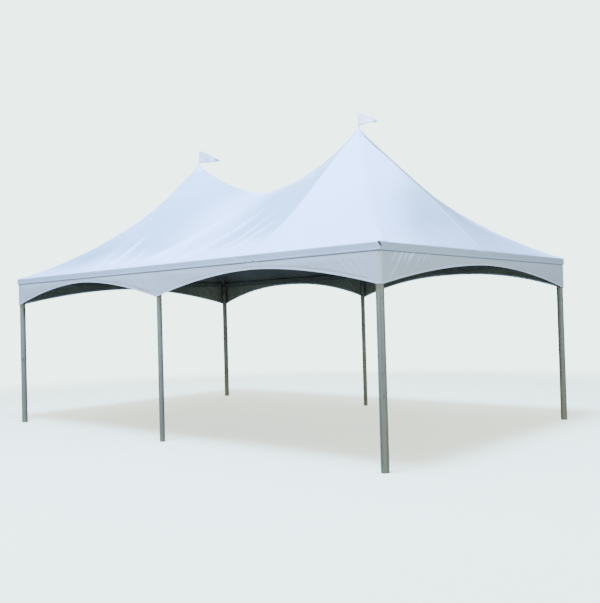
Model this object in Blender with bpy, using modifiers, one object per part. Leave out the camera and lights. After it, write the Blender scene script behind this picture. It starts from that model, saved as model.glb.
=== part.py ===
"""Marquee tent: one fabric roof with two peaks on a frame with six legs.

Metres, +Z up. The long side runs along X, the front is at -Y, and the origin is on the
ground under the middle of the roof. The frame has legs, brackets, eave beams, and over
each bay four rafters that meet in a hub and carry a short mast. The fabric hangs from
the two masts, runs down to the eave, and turns over it as a band. Six arched valances
hang behind the band.
"""

import math

import bmesh
import bpy
import numpy as np
from mathutils import Matrix, Vector

OBJECT_NAME = "marquee_tent"

# Plan: distances between the centre lines of the legs
BAY = 3.90
WIDTH = 4.90
HALF_LENGTH = BAY
HALF_WIDTH = WIDTH / 2
PEAK_X = 1.85

# Heights above the ground
BEAM_BOTTOM = 2.455
BEAM_TOP = 2.550
EAVE_Z = 2.5545
SEAM_Z = 2.455
VALANCE_TOP = 2.474
VALANCE_CROWN = 2.345
VALANCE_TIP = 2.085
PEAK_Z = 4.588
SADDLE_Z = 3.870
HUB_Z = 3.400
RAFTER_FOOT_Z = 2.490
MAST_TOP = 4.500

# Gap between pieces that touch, and how near doubled points are merged
GAP = 0.0003
WELD = 0.00005

# Layers of the eave, measured outwards from the centre line of the legs
BEAM_INNER = -0.0043
BEAM_OUTER = 0.0557
VALANCE_INNER = BEAM_OUTER + GAP
CLOTH = 0.003
VALANCE_OUTER = VALANCE_INNER + CLOTH
BAND_OUTER = VALANCE_OUTER + GAP + CLOTH

# Legs, and the sleeves of the brackets that hold their heads
CORNER_LEG_RADIUS = 0.048
MIDDLE_LEG_RADIUS = 0.038
TUBE_WALL = 0.003
SLEEVE_BOTTOM = 2.110
CORNER_SLEEVE_RADIUS = 0.055
MIDDLE_SLEEVE_RADIUS = 0.045
SLEEVE_OVERLAP = 0.020
HEAD_INNER = 0.060
BEAM_ROUNDING = 0.006

# Rafters, hubs and masts
RAFTER_RADIUS = 0.025
STUB_RADIUS = 0.027
STUB_LENGTH = 0.200
HUB_RADIUS = 0.070
HUB_HALF_HEIGHT = 0.070
MAST_RADIUS = 0.030

# Peak caps, flagpoles and pennants
CANOPY_TOP = 4.540
CAP_SKIRT_RADIUS = 0.075
CAP_SKIRT_Z = 4.541
CAP_NECK_RADIUS = 0.012
CAP_TOP = 4.622
CAP_LIP = 0.002
CAP_SPIGOT = 0.040
POLE_RADIUS = 0.006
POLE_TOP = 4.868
PENNANT_HOIST = 0.21
PENNANT_FLY = 0.39
PENNANT_TIP_RISE = 0.02
PENNANT_CLEAR = 0.012
PENNANT_ANGLES = {"left": math.radians(40), "right": 0.0}
PENNANT_CLOTH = 0.002

# Shape of the roof: how each run of fabric falls from a peak to its edge
HIP_SAG = 1.32
LONG_SIDE_SAG = 0.32
SHORT_SIDE_SAG = 0.06
SAG_POWER = 1.6
RIDGE_POWER = 1.8
VALLEY_SOFTNESS = 0.5
ARCH_POWER = 1.8

# How finely curved pieces are divided
ROUND_STEPS = 28
POLE_STEPS = 12
VALANCE_COLUMNS = 28
VALANCE_ROWS = 2
ROOF_COLUMNS = 7
ROOF_ROWS_ABOVE_SADDLE = 7
ROOF_ROWS_BELOW_SADDLE = 10
ROW_CROWDING = 1.25
CURVE_SAMPLES = 400

FABRIC = ((0.80, 0.83, 0.87), 0.55, 0.0)
VALANCE_FABRIC = ((0.74, 0.78, 0.82), 0.60, 0.0)
ALUMINIUM = ((0.55, 0.57, 0.56), 0.40, 1.0)
CASTING = ((0.42, 0.44, 0.44), 0.50, 1.0)
CAP_WHITE = ((0.82, 0.83, 0.84), 0.45, 0.0)
PENNANT_FABRIC = ((0.86, 0.87, 0.88), 0.60, 0.0)


def clear_scene():
    """Removes what the scene holds, objects first."""
    for item in list(bpy.data.objects):
        bpy.data.objects.remove(item, do_unlink=True)


def collection(name):
    """A collection of this name in the scene, made when it isn't there."""
    found = bpy.data.collections.get(name)
    if found is None:
        found = bpy.data.collections.new(name)
        bpy.context.scene.collection.children.link(found)
    return found


def paint(item, name, finish):
    """Gives the object its own Principled material: colour, roughness, metallic."""
    colour, roughness, metallic = finish
    material = bpy.data.materials.new(name)
    material.use_nodes = True
    shader = material.node_tree.nodes["Principled BSDF"]
    shader.inputs["Base Color"].default_value = (*colour, 1.0)
    shader.inputs["Roughness"].default_value = roughness
    shader.inputs["Metallic"].default_value = metallic
    item.data.materials.clear()
    item.data.materials.append(material)


def add_object(name, mesh, finish, group=OBJECT_NAME):
    """Links a mesh as one named piece with its material."""
    item = bpy.data.objects.new(name, mesh)
    collection(group).objects.link(item)
    if finish is not None:
        paint(item, name, finish)
    return item


def add_cutter(name, mesh):
    """A solid that only shapes its neighbours."""
    item = add_object(name, mesh, None, group=OBJECT_NAME + "_cutters")
    item.hide_render = True
    item.display_type = "WIRE"
    return item


def smooth(item, angle=35):
    item.data.shade_smooth()
    item.data.set_sharp_from_angle(angle=math.radians(angle))


def block_mesh(name, low, high):
    """A box between two corners."""
    work = bmesh.new()
    bmesh.ops.create_cube(work, size=1.0)
    size = Vector(high) - Vector(low)
    middle = (Vector(high) + Vector(low)) / 2
    bmesh.ops.scale(work, vec=size, verts=work.verts)
    bmesh.ops.translate(work, vec=middle, verts=work.verts)
    mesh = bpy.data.meshes.new(name)
    work.to_mesh(mesh)
    work.free()
    return mesh


def rod_mesh(name, start, end, radius, steps=ROUND_STEPS):
    """A round bar between two points."""
    start = Vector(start)
    run = Vector(end) - start
    work = bmesh.new()
    bmesh.ops.create_cone(work, cap_ends=True, segments=steps, radius1=radius,
                          radius2=radius, depth=run.length)
    turn = run.to_track_quat("Z", "Y").to_matrix().to_4x4()
    place = Matrix.Translation(start + run / 2) @ turn
    bmesh.ops.transform(work, matrix=place, verts=work.verts)
    mesh = bpy.data.meshes.new(name)
    work.to_mesh(mesh)
    work.free()
    return mesh


def turned(name, profile, finish, steps=ROUND_STEPS, closed=False):
    """A turned piece: a profile of (radius, height) pairs spun about Z by a Screw."""
    count = len(profile)
    edges = [(k, k + 1) for k in range(count - 1)]
    if closed:
        edges.append((count - 1, 0))
    mesh = bpy.data.meshes.new(name)
    mesh.from_pydata([(r, 0.0, z) for r, z in profile], edges, [])
    item = add_object(name, mesh, finish)
    screw = item.modifiers.new("turn", "SCREW")
    screw.steps = steps
    screw.render_steps = steps
    screw.use_merge_vertices = True
    screw.merge_threshold = 0.00001
    screw.use_smooth_shade = False
    return item


def tube(name, start, end, radius, finish, wall=TUBE_WALL):
    """A round tube with open ends between two points."""
    start = Vector(start)
    run = Vector(end) - start
    inner = radius - wall
    profile = [(inner, run.length), (radius, run.length), (radius, 0.0), (inner, 0.0)]
    item = turned(name, profile, finish, closed=True)
    item.rotation_mode = "QUATERNION"
    item.rotation_quaternion = run.to_track_quat("Z", "Y")
    item.location = start
    return item


def boolean(item, cutter, operation):
    step = item.modifiers.new(operation.lower(), "BOOLEAN")
    step.operation = operation
    step.solver = "EXACT"
    step.object = cutter


def side_word(value, low, middle, high):
    return low if value < 0 else high if value > 0 else middle


def post_name(sign_x, sign_y):
    """Names a leg or bracket by where it stands, such as front_left."""
    depth = side_word(sign_y, "front", "", "back")
    along = side_word(sign_x, "left", "middle", "right")
    return f"{depth}_{along}"


POSTS = [(sx, sy) for sy in (-1, 1) for sx in (-1, 0, 1)]


def post_place(sign_x, sign_y, z=0.0):
    return Vector((sign_x * HALF_LENGTH, sign_y * HALF_WIDTH, z))


def hub_place(side, z=HUB_Z):
    return Vector((side * PEAK_X, 0.0, z))


def rafter_ends(sign_x, sign_y, side):
    """Foot and head of a rafter's centre line."""
    return post_place(sign_x, sign_y, RAFTER_FOOT_Z), hub_place(side)


def rafter_sides(sign_x):
    """The hubs that a post's rafters run to: both from a middle post."""
    return (-1, 1) if sign_x == 0 else (sign_x,)


def make_legs():
    for sx, sy in POSTS:
        radius = MIDDLE_LEG_RADIUS if sx == 0 else CORNER_LEG_RADIUS
        foot = post_place(sx, sy)
        head = post_place(sx, sy, BEAM_BOTTOM - GAP)
        smooth(tube(f"leg_{post_name(sx, sy)}", foot, head, radius, ALUMINIUM))


def make_brackets():
    """Each bracket is a head block with a sleeve for the leg and stubs for rafters."""
    for sx, sy in POSTS:
        name = post_name(sx, sy)
        middle = sx == 0
        leg_radius = MIDDLE_LEG_RADIUS if middle else CORNER_LEG_RADIUS
        sleeve_radius = MIDDLE_SLEEVE_RADIUS if middle else CORNER_SLEEVE_RADIUS
        spot = post_place(sx, sy)
        if middle:
            x_reach = (-HEAD_INNER, HEAD_INNER)
        else:
            x_reach = sorted((-sx * HEAD_INNER, sx * BEAM_OUTER))
        y_reach = sorted((-sy * HEAD_INNER, sy * BEAM_OUTER))
        low = (spot.x + x_reach[0], spot.y + y_reach[0], BEAM_BOTTOM)
        high = (spot.x + x_reach[1], spot.y + y_reach[1], BEAM_TOP)
        bracket = add_object(f"bracket_{name}", block_mesh("head", low, high), CASTING)

        sleeve = rod_mesh("sleeve", (spot.x, spot.y, SLEEVE_BOTTOM),
                          (spot.x, spot.y, BEAM_BOTTOM + SLEEVE_OVERLAP), sleeve_radius)
        boolean(bracket, add_cutter(f"sleeve_{name}", sleeve), "UNION")
        for side in rafter_sides(sx):
            foot, head = rafter_ends(sx, sy, side)
            tip = foot + (head - foot).normalized() * STUB_LENGTH
            stub = rod_mesh("stub", foot, tip, STUB_RADIUS)
            boolean(bracket, add_cutter(f"stub_{name}_{side}", stub), "UNION")
        bore = rod_mesh("bore", (spot.x, spot.y, SLEEVE_BOTTOM - SLEEVE_OVERLAP),
                        (spot.x, spot.y, BEAM_BOTTOM), leg_radius + GAP)
        boolean(bracket, add_cutter(f"bore_{name}", bore), "DIFFERENCE")
        smooth(bracket)


def make_beams():
    """Eave beams between the heads of the brackets, with rounded long edges."""
    start_gap = HEAD_INNER + GAP
    runs = []
    for sy, depth in ((-1, "front"), (1, "back")):
        reach = sorted((sy * (HALF_WIDTH + BEAM_INNER), sy * (HALF_WIDTH + BEAM_OUTER)))
        for sx, along in ((-1, "left"), (1, "right")):
            span = sorted((sx * start_gap, sx * (HALF_LENGTH - start_gap)))
            runs.append((f"eave_beam_{depth}_{along}", span, reach))
    for sx, along in ((-1, "left"), (1, "right")):
        reach = sorted((sx * (HALF_LENGTH + BEAM_INNER), sx * (HALF_LENGTH + BEAM_OUTER)))
        half = HALF_WIDTH - start_gap
        runs.append((f"eave_beam_{along}", reach, [-half, half]))
    for name, x_span, y_span in runs:
        low = (x_span[0], y_span[0], BEAM_BOTTOM)
        high = (x_span[1], y_span[1], BEAM_TOP)
        beam = add_object(name, block_mesh(name, low, high), ALUMINIUM)
        rounding = beam.modifiers.new("rounding", "BEVEL")
        rounding.width = BEAM_ROUNDING
        rounding.segments = 2
        rounding.limit_method = "ANGLE"


def make_hubs_and_masts():
    for side, along in ((-1, "left"), (1, "right")):
        hub_low = hub_place(side, HUB_Z - HUB_HALF_HEIGHT)
        hub_high = hub_place(side, HUB_Z + HUB_HALF_HEIGHT)
        hub = add_object(f"rafter_hub_{along}", rod_mesh("hub", hub_low, hub_high, HUB_RADIUS),
                         CASTING)
        for sx, sy in POSTS:
            if side not in rafter_sides(sx):
                continue
            foot, head = rafter_ends(sx, sy, side)
            step = (foot - head).normalized()
            name = post_name(sx, sy)
            stub = rod_mesh("stub", head, head + step * STUB_LENGTH, STUB_RADIUS)
            boolean(hub, add_cutter(f"hub_stub_{name}_{along}", stub), "UNION")
            rafter_name = f"rafter_{along}_to_{name}"
            rafter_foot = foot - step * (STUB_LENGTH + GAP)
            rafter_head = head + step * (STUB_LENGTH + GAP)
            smooth(tube(rafter_name, rafter_foot, rafter_head, RAFTER_RADIUS, ALUMINIUM))
        smooth(hub)
        mast_foot = hub_place(side, HUB_Z + HUB_HALF_HEIGHT + GAP)
        smooth(tube(f"mast_{along}", mast_foot, hub_place(side, MAST_TOP), MAST_RADIUS,
                    ALUMINIUM))


def make_peak_tops():
    """Cap over the hole at each peak, flagpole on the cap, pennant on the pole."""
    spigot = MAST_RADIUS - TUBE_WALL - GAP
    cone_top = CAP_SKIRT_Z + CAP_SKIRT_RADIUS - CAP_NECK_RADIUS
    under_top = CAP_SKIRT_Z + CAP_SKIRT_RADIUS - 2 * CAP_LIP - MAST_RADIUS
    cap_profile = [
        (0.0, CAP_TOP),
        (CAP_NECK_RADIUS, CAP_TOP),
        (CAP_NECK_RADIUS, cone_top),
        (CAP_SKIRT_RADIUS, CAP_SKIRT_Z),
        (CAP_SKIRT_RADIUS, CAP_SKIRT_Z - CAP_LIP),
        (CAP_SKIRT_RADIUS - CAP_LIP, CAP_SKIRT_Z - CAP_LIP),
        (MAST_RADIUS, under_top),
        (MAST_RADIUS, MAST_TOP + GAP),
        (spigot, MAST_TOP + GAP),
        (spigot, MAST_TOP - CAP_SPIGOT),
        (0.0, MAST_TOP - CAP_SPIGOT),
    ]
    for side, along in ((-1, "left"), (1, "right")):
        cap = turned(f"peak_cap_{along}", cap_profile, CAP_WHITE)
        cap.location = (side * PEAK_X, 0.0, 0.0)
        smooth(cap)
        foot = hub_place(side, CAP_TOP + GAP)
        pole_mesh = rod_mesh("pole", foot, hub_place(side, POLE_TOP), POLE_RADIUS, POLE_STEPS)
        pole = add_object(f"flagpole_{along}", pole_mesh, ALUMINIUM)
        smooth(pole)

        top = POLE_TOP - PENNANT_CLEAR
        root = POLE_RADIUS + GAP
        outline = [(root, top), (root, top - PENNANT_HOIST),
                   (PENNANT_FLY, top - PENNANT_HOIST + PENNANT_TIP_RISE)]
        curve = bpy.data.curves.new("pennant", "CURVE")
        curve.dimensions = "2D"
        curve.fill_mode = "BOTH"
        curve.extrude = PENNANT_CLOTH / 2
        spline = curve.splines.new("POLY")
        spline.points.add(len(outline) - 1)
        for point, (x, y) in zip(spline.points, outline):
            point.co = (x, y, 0.0, 1.0)
        spline.use_cyclic_u = True
        pennant = bpy.data.objects.new(f"pennant_{along}", curve)
        collection(OBJECT_NAME).objects.link(pennant)
        pennant.location = (side * PEAK_X, 0.0, 0.0)
        pennant.rotation_euler = (math.pi / 2, 0.0, PENNANT_ANGLES[along])
        paint(pennant, f"pennant_{along}", PENNANT_FABRIC)


def grid_mesh(name, points):
    """A mesh from a grid of points, rows by columns by three."""
    rows, columns = points.shape[:2]
    index = np.arange(rows * columns).reshape(rows, columns)
    quads = np.stack([index[:-1, :-1], index[:-1, 1:], index[1:, 1:], index[1:, :-1]], axis=-1)
    mesh = bpy.data.meshes.new(name)
    mesh.from_pydata(points.reshape(-1, 3).tolist(), [], quads.reshape(-1, 4).tolist())
    mesh.update()
    return mesh


def weld_and_face_out(mesh, centre):
    """Merges doubled points and turns the faces away from a point."""
    work = bmesh.new()
    work.from_mesh(mesh)
    bmesh.ops.remove_doubles(work, verts=work.verts, dist=WELD)
    bmesh.ops.recalc_face_normals(work, faces=work.faces)
    outward = sum((f.calc_center_median() - centre).dot(f.normal) * f.calc_area()
                  for f in work.faces)
    if outward < 0:
        bmesh.ops.reverse_faces(work, faces=work.faces)
    work.to_mesh(mesh)
    work.free()


def hip_drop(t):
    """Height share left at share t of the way from a peak down a hip."""
    end = math.exp(-HIP_SAG)
    return (np.exp(-HIP_SAG * t) - end) / (1 - end)


def side_drop(t, sag):
    """The same down the middle of a side, straight at the top and with its sag lower down."""
    return (1 - t) * (1 - sag * (t * t * (3 - 2 * t)) ** SAG_POWER)


def long_side_drop(t):
    return side_drop(t, LONG_SIDE_SAG)


def short_side_drop(t):
    return side_drop(t, SHORT_SIDE_SAG)


def valley_rise(u):
    """Height share at share u of the way up the valley from the eave to the saddle."""
    return u - VALLEY_SOFTNESS / (2 * math.pi) * np.sin(2 * math.pi * u)


def along_drop(drop, height_share):
    """The way t at which a falling run has come down to a height share."""
    t = np.linspace(0.0, 1.0, CURVE_SAMPLES)
    return float(np.interp(height_share, drop(t)[::-1], t[::-1]))


def contour(z, half_x, half_y):
    """Corner points of the roof's level line at height z, in its front right quarter.

    They run from the valley or the ridge over the middle of the front side and the hip
    to the middle of the short side. Between them the level line is straight.
    """
    share = min(max((z - EAVE_Z) / (PEAK_Z - EAVE_Z), 0.0), 1.0)
    long_t = along_drop(long_side_drop, share)
    short_t = along_drop(short_side_drop, share)
    hip_t = along_drop(hip_drop, share)
    if z >= SADDLE_Z:
        ridge_share = ((z - SADDLE_Z) / (PEAK_Z - SADDLE_Z)) ** (1 / RIDGE_POWER)
        inner = (PEAK_X * ridge_share, 0.0)
    else:
        u = np.linspace(0.0, 1.0, CURVE_SAMPLES)
        rise = (z - EAVE_Z) / (SADDLE_Z - EAVE_Z)
        inner = (0.0, -half_y * (1 - float(np.interp(rise, valley_rise(u), u))))
    front = (PEAK_X, -half_y * long_t)
    hip = (PEAK_X + (half_x - PEAK_X) * hip_t, -half_y * hip_t)
    short = (PEAK_X + (half_x - PEAK_X) * short_t, 0.0)
    return np.array([inner, front, hip, short])


def make_canopy():
    """A quarter of the roof from its level lines, mirrored twice, then given thickness."""
    half_x = HALF_LENGTH + BAND_OUTER
    half_y = HALF_WIDTH + BAND_OUTER
    above = np.linspace(CANOPY_TOP, SADDLE_Z, ROOF_ROWS_ABOVE_SADDLE)
    fall = np.linspace(1.0, 0.0, ROOF_ROWS_BELOW_SADDLE + 1)[1:] ** ROW_CROWDING
    levels = np.concatenate([above, EAVE_Z + (SADDLE_Z - EAVE_Z) * fall])
    shares = np.arange(ROOF_COLUMNS)[:, None] / ROOF_COLUMNS
    rows = []
    for z in levels:
        corners = contour(z, half_x, half_y)
        line = [a + (b - a) * shares for a, b in zip(corners[:-1], corners[1:])]
        flat = np.vstack(line + [corners[-1:]])
        rows.append(np.column_stack([flat, np.full(len(flat), z)]))
    band = rows[-1].copy()
    band[:, 2] = SEAM_Z
    rows.append(band)
    mesh = grid_mesh("roof_canopy", np.array(rows))
    weld_and_face_out(mesh, post_place(0, 0))
    canopy = add_object("roof_canopy", mesh, FABRIC)
    mirror = canopy.modifiers.new("other_quarters", "MIRROR")
    mirror.use_axis = (True, True, False)
    mirror.use_clip = False
    mirror.merge_threshold = 0.0001
    wall = canopy.modifiers.new("cloth", "SOLIDIFY")
    wall.thickness = CLOTH
    wall.offset = -1.0
    wall.use_even_offset = True


def arch(s):
    """Lower edge of a valance: s runs from -1 at one leg to 1 at the next."""
    return VALANCE_CROWN - (VALANCE_CROWN - VALANCE_TIP) * np.abs(s) ** ARCH_POWER


def make_valances():
    """Arched sheets between the legs, hung behind the band."""
    front_y = HALF_WIDTH + VALANCE_OUTER
    short_x = HALF_LENGTH + VALANCE_OUTER
    s = np.linspace(-1.0, 1.0, VALANCE_COLUMNS + 1)
    depth_share = np.linspace(0.0, 1.0, VALANCE_ROWS + 1)[:, None]
    z = VALANCE_TOP + (arch(s)[None, :] - VALANCE_TOP) * depth_share
    runs = []
    for sy, depth in ((-1, "front"), (1, "back")):
        for sx, along in ((-1, "left"), (1, "right")):
            ends = (sx * GAP / 2, sx * short_x)
            runs.append((f"valance_{depth}_{along}", ends, (sy * front_y, sy * front_y),
                         Vector((0.0, sy, 0.0))))
    half = HALF_WIDTH + VALANCE_INNER - GAP
    for sx, along in ((-1, "left"), (1, "right")):
        runs.append((f"valance_{along}", (sx * short_x, sx * short_x), (-half, half),
                     Vector((sx, 0.0, 0.0))))
    for name, x_ends, y_ends, outward in runs:
        share = (s + 1) / 2
        x = x_ends[0] + (x_ends[1] - x_ends[0]) * share
        y = y_ends[0] + (y_ends[1] - y_ends[0]) * share
        points = np.stack([np.broadcast_to(x, z.shape), np.broadcast_to(y, z.shape), z], axis=-1)
        mesh = grid_mesh(name, points)
        weld_and_face_out(mesh, Vector((0.0, 0.0, 0.0)))
        valance = add_object(name, mesh, VALANCE_FABRIC)
        wall = valance.modifiers.new("cloth", "SOLIDIFY")
        wall.thickness = CLOTH
        wall.offset = -1.0


def main():
    clear_scene()
    make_legs()
    make_brackets()
    make_beams()
    make_hubs_and_masts()
    make_peak_tops()
    make_canopy()
    make_valances()


main()
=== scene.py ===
"""Looks of the marquee tent: its fabric, seams, hems, tubes, castings and fittings.

Metres, in the frame's own axes: the long side runs along X, the front is at -Y, and the
feet of the legs are at z = 0.
"""

import math

import bmesh
import bpy
import numpy as np
from mathutils import Matrix, Vector


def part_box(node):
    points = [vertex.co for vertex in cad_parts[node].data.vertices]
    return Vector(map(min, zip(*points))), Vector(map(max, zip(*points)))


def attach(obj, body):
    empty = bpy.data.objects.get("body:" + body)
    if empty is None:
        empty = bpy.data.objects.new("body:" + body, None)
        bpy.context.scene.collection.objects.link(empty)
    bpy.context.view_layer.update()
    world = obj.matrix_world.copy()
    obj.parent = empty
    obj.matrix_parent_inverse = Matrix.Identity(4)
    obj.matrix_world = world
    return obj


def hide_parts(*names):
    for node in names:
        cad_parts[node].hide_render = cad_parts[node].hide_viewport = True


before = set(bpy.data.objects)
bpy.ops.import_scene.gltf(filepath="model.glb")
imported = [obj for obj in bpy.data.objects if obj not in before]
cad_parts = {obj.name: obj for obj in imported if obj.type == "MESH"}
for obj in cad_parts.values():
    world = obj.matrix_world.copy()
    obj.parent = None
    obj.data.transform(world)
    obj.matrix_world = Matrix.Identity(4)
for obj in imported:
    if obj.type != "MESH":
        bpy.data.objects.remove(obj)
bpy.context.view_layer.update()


def middle(node):
    """Centre of a CAD node's box."""
    low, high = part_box(node)
    return (low + high) / 2


# Plan of the frame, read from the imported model
POST_X = middle("leg_front_right").x
POST_Y = middle("leg_back_right").y
PEAK_X = middle("mast_right").x
EDGE_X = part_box("roof_canopy")[1].x
EDGE_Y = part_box("roof_canopy")[1].y
SEAM_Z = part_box("roof_canopy")[0].z
BEAM_TOP_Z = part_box("eave_beam_left")[1].z
VALANCE_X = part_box("valance_right")[1].x
VALANCE_Y = -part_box("valance_front_right")[0].y
VALANCE_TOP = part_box("valance_right")[1].z
VALANCE_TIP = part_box("valance_right")[0].z

# Heights and curves of the roof
EAVE_Z = BEAM_TOP_Z + 0.0045
PEAK_Z = 4.588
SADDLE_Z = 3.870
HIP_SAG = 1.32
LONG_SIDE_SAG = 0.32
SHORT_SIDE_SAG = -0.05
SAG_POWER = 1.6
RIDGE_POWER = 1.8
VALLEY_SOFTNESS = 0.5
SEAM_DRIFT = 0.19
HOLE_RADIUS = 0.052

# How the roof's height is found: samples of a curve, halvings, the table's step, soft widths
WAY = np.linspace(0.0, 1.0, 600)
HALVINGS = 24
TABLE_STEP = 0.0125
CREASE_WIDTH = 0.022
HIP_WIDTH = 0.095
VALLEY_WIDTH = 0.17
RIDGE_WIDTH = 0.25

# The cloth, its turn over the eave, and the hem of the band that hangs from it
CLOTH = 0.0016
FOLD = 0.018
BAND_RADIUS = 0.010
BAND_DROP = EAVE_Z - SEAM_Z
BAND_HEM = 0.020
HEM_STEP = 0.0004
HEM_STEP_REACH = 0.0006
RIPPLE_HEIGHT = 0.0055


def share_between(value, low, high):
    """0 below low, 1 above high, and a straight line between them."""
    return np.clip((value - low) / (high - low), 0.0, 1.0)


def smoothstep(value, low, high):
    """The same with soft ends: 3t^2 - 2t^3 of that share t."""
    t = share_between(value, low, high)
    return t * t * (3 - 2 * t)


def eased(count, strength):
    """Shares from 0 to 1, closer together at both ends: u - strength sin(2 pi u) / (2 pi)."""
    u = np.linspace(0.0, 1.0, count)
    return u - strength * np.sin(2 * math.pi * u) / (2 * math.pi)


def spread(start, end, count):
    """Numbers evenly spaced from start to end, without the end."""
    return np.linspace(start, end, count + 1)[:-1]


def arc(turn):
    """Unit vectors in plan that turn from the front, -Y, through the right side, +X."""
    return np.column_stack([np.sin(turn), -np.cos(turn)])


def paired(u, v):
    """Pairs of two values, each spread over the other's shape."""
    return np.stack(np.broadcast_arrays(u, v), axis=-1)


def raised(plan, z):
    """Plan points with their heights added."""
    return np.concatenate([plan, np.broadcast_to(z, plan.shape[:-1])[..., None]], axis=-1)


def way_along(path):
    """The way from the first point of a plan path to each of its points."""
    return np.concatenate([[0.0], np.cumsum(np.hypot(*np.diff(path, axis=0).T))])


def beside_line(u, v, start, end):
    """Share of the way along a straight line, and distance from it, for points of a plane."""
    run = np.array(end) - start
    length = np.hypot(*run)
    along = ((u - start[0]) * run[0] + (v - start[1]) * run[1]) / length ** 2
    across = ((u - start[0]) * run[1] - (v - start[1]) * run[0]) / length
    return along, across


def hip_drop(t):
    """Height share left at share t of the way from a peak down a hip: a falling exponential."""
    end = math.exp(-HIP_SAG)
    return (np.exp(-HIP_SAG * t) - end) / (1 - end)


def side_drop(t, sag):
    """The same down the middle of a side: (1 - t)(1 - sag s^1.6), where s = 3t^2 - 2t^3."""
    return (1 - t) * (1 - sag * smoothstep(t, 0.0, 1.0) ** SAG_POWER)


def valley_rise(u):
    """Height share at share u of the way up the valley: u less a sine of one turn."""
    return u - VALLEY_SOFTNESS / (2 * math.pi) * np.sin(2 * math.pi * u)


def way_down(heights, share):
    """The way at which a falling run, whose heights go with WAY, has come down to a share."""
    return np.interp(share, heights[::-1], WAY[::-1])


def level_gap(x, y, z):
    """How far plan points lie outside the roof's level line at height z, in one quarter.

    The level line joins four points with straight lines: one in the valley or on the ridge,
    one down the middle of the long side, one on the hip, and one down the middle of the short
    side. The result is below 0 where the roof is higher than z.
    """
    share = share_between(z, EAVE_Z, PEAK_Z)
    long_t = way_down(side_drop(WAY, LONG_SIDE_SAG), share)
    short_t = way_down(side_drop(WAY, SHORT_SIDE_SAG), share)
    hip_t = way_down(hip_drop(WAY), share)
    above = z >= SADDLE_Z
    ridge = share_between(z, SADDLE_Z, PEAK_Z) ** (1 / RIDGE_POWER)
    rise = share_between(z, EAVE_Z, SADDLE_Z)
    valley = EDGE_Y * (1 - np.interp(rise, valley_rise(WAY), WAY))
    corners = [
        (np.where(above, PEAK_X * ridge, 0.0), np.where(above, 0.0, valley)),
        (np.full_like(z, PEAK_X), EDGE_Y * long_t),
        (PEAK_X + (EDGE_X - PEAK_X) * hip_t, EDGE_Y * hip_t),
        (PEAK_X + (EDGE_X - PEAK_X) * short_t, np.zeros_like(z)),
    ]
    gap = np.full_like(z, -np.inf)
    for (ax, ay), (bx, by) in zip(corners[:-1], corners[1:]):
        gap = np.maximum(gap, (bx - ax) * (y - ay) - (by - ay) * (x - ax))
    return gap


def sharp_roof(x, y):
    """Height of the roof before its creases are softened.

    It is the z whose level line passes through the plan point, found by halving the range
    between eave and peak.
    """
    low = np.full_like(x, EAVE_Z)
    high = np.full_like(x, PEAK_Z)
    for _ in range(HALVINGS):
        z = (low + high) / 2
        inside = level_gap(x, y, z) < 0
        low = np.where(inside, z, low)
        high = np.where(inside, high, z)
    return (low + high) / 2


def blurred(table, sigma):
    """Gaussian mean along both axes: mirrored past the middle, run on straight past the eave."""
    reach = int(math.ceil(3 * sigma / TABLE_STEP))
    offsets = np.arange(-reach, reach + 1) * TABLE_STEP
    weights = np.exp(-0.5 * (offsets / sigma) ** 2)
    weights /= weights.sum()
    for axis in (0, 1):
        before = [(0, 0), (0, 0)]
        after = [(0, 0), (0, 0)]
        before[axis] = (reach, 0)
        after[axis] = (0, reach)
        wide = np.pad(table, before, mode="reflect")
        wide = np.pad(wide, after, mode="reflect", reflect_type="odd")
        table = np.apply_along_axis(np.convolve, axis, wide, weights, mode="valid")
    return table


def make_roof_table():
    """Heights over one quarter on a regular grid: creases a little soft, hips and valley more.

    The soft tables fade into the sharp one at the eave and at the peak, where the cloth is
    held. The blurs take height off the ridge, and a narrow bell along it gives that back.
    """
    x_line = np.arange(0.0, EDGE_X + TABLE_STEP, TABLE_STEP)
    y_line = np.arange(0.0, EDGE_Y + TABLE_STEP, TABLE_STEP)
    x, y = np.meshgrid(x_line, y_line, indexing="ij")
    sharp = sharp_roof(x, y)
    creased = blurred(sharp, CREASE_WIDTH)
    hips = blurred(sharp, HIP_WIDTH)
    hips += blurred(sharp - hips, HIP_WIDTH)
    valley = blurred(sharp, VALLEY_WIDTH)
    off_seams = np.minimum(np.abs(x - PEAK_X), np.where(x > PEAK_X, y, 1.0))
    off_peak = np.hypot(x - PEAK_X, y)
    off_eave = np.minimum(EDGE_X - x, EDGE_Y - y)
    on_hips = smoothstep(off_seams, 0.10, 0.40) * smoothstep(off_peak, 0.3, 0.9)
    on_hips *= smoothstep(off_eave, 0.0, 2.5 * HIP_WIDTH)
    in_valley = (1 - smoothstep(x, 0.7, 1.3)) * smoothstep(y, 0.1, 0.6)
    in_valley *= smoothstep(off_eave, 0.0, 2.5 * VALLEY_WIDTH)
    fine = smoothstep(off_eave, 0.0, 3 * CREASE_WIDTH) * smoothstep(off_peak, 0.06, 0.20)
    table = sharp + fine * (creased - sharp)
    table += on_hips * (hips - table)
    table += in_valley * (valley - table)
    return table + (sharp[:, :1] - table[:, :1]) * np.exp(-((y / RIDGE_WIDTH) ** 2))


ROOF_TABLE = make_roof_table()


def short_seam(x):
    """The y of a short side's seam: it drifts forward at the right and back at the left."""
    return -np.sign(x) * SEAM_DRIFT * share_between(np.abs(x), PEAK_X, EDGE_X)


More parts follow.
